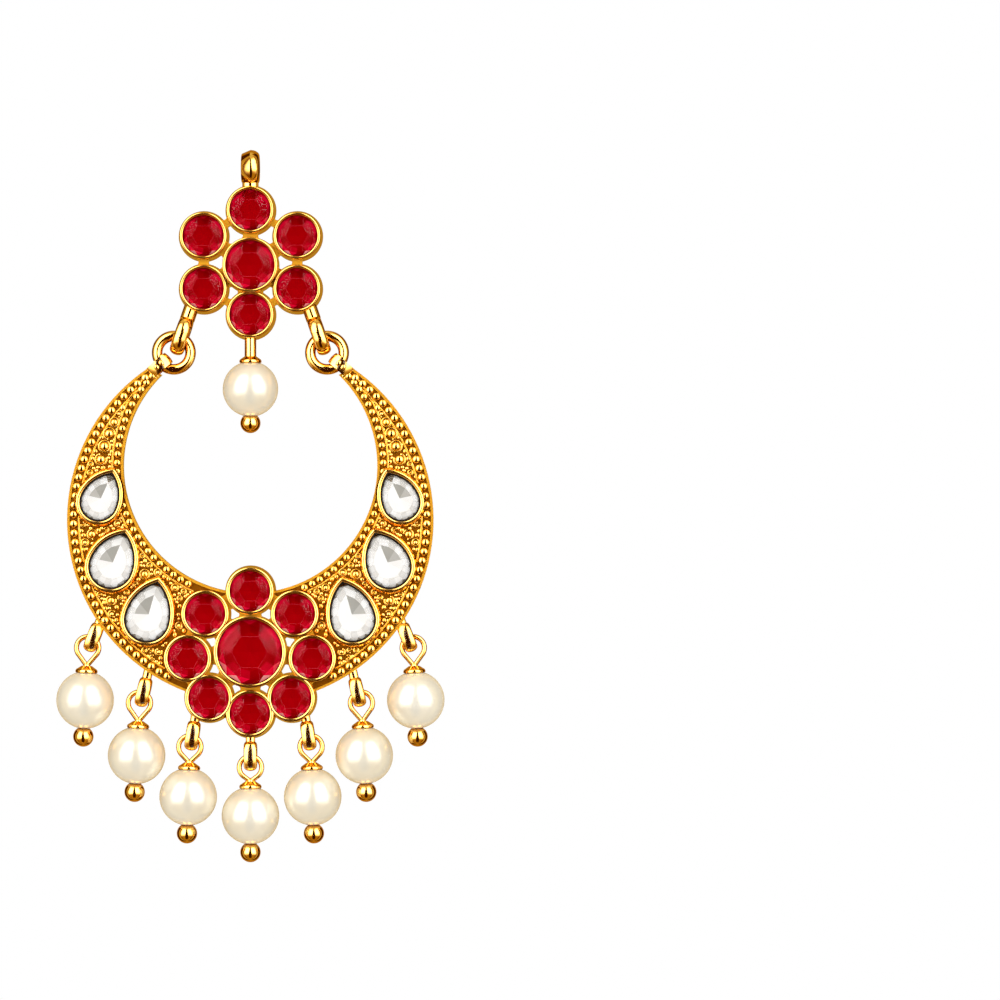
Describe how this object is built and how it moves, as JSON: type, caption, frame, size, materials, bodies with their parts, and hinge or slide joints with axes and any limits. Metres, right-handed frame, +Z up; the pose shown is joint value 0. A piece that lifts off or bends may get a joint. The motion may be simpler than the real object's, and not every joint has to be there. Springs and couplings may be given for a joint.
{
  "type": "dangle earring",
  "caption": "Gold-coloured crescent dangle earring: a flower of round red stones carries a crescent with pear stones, a second flower and a fringe of hanging pearls.",
  "frame": {"origin": "on the ear post's axis, at the back of the post's pad, where it rests on the ear", "axes": "+Z up, +Y from the front of the earring towards the ear, along the post; X is the mirror axis, and the front faces -Y"},
  "size_m": [0.0416, 0.0146, 0.0762],
  "materials": {
    "gold": "polished",
    "ruby": "polished",
    "crystal": "polished",
    "pearl": "gloss"
  },
  "bodies": {
    "top_flower": {"top_flower": "gold", "ear_post": "gold", "top_ruby_centre": "ruby", "top_ruby_1": "ruby", "top_ruby_2": "ruby", "top_ruby_3": "ruby", "top_ruby_4": "ruby", "top_ruby_5": "ruby", "top_ruby_6": "ruby", "top_pearl": "pearl"},
    "rings": {"jump_ring_left": "gold", "jump_ring_right": "gold"},
    "drop": {"crescent": "gold", "ruby_centre": "ruby", "ruby_1": "ruby", "ruby_2": "ruby", "ruby_3": "ruby", "ruby_4": "ruby", "ruby_5": "ruby", "ruby_6": "ruby", "ruby_7": "ruby", "ruby_8": "ruby", "crystal_1": "crystal", "crystal_2": "crystal", "crystal_3": "crystal", "crystal_4": "crystal", "crystal_5": "crystal", "crystal_6": "crystal", "drop_pin_1": "gold", "drop_pin_2": "gold", "drop_pin_3": "gold", "drop_pin_4": "gold", "drop_pin_5": "gold", "drop_pin_6": "gold", "drop_pin_7": "gold", "pearl_cap_1": "gold", "pearl_cap_2": "gold", "pearl_cap_3": "gold", "pearl_cap_4": "gold", "pearl_cap_5": "gold", "pearl_cap_6": "gold", "pearl_cap_7": "gold", "pearl_1": "pearl", "pearl_2": "pearl", "pearl_3": "pearl", "pearl_4": "pearl", "pearl_5": "pearl", "pearl_6": "pearl", "pearl_7": "pearl"}
  },
  "joints": [
    {"name": "ring_swing", "type": "hinge", "parent": "top_flower", "child": "rings", "pos_m": [0, -0.00155, -0.00805], "axis": [1, 0, 0], "range_deg": [-30, 30]},
    {"name": "drop_swing", "type": "hinge", "parent": "rings", "child": "drop", "pos_m": [0, -0.00155, -0.01086], "axis": [1, 0, 0], "range_deg": [-20, 20]}
  ]
}
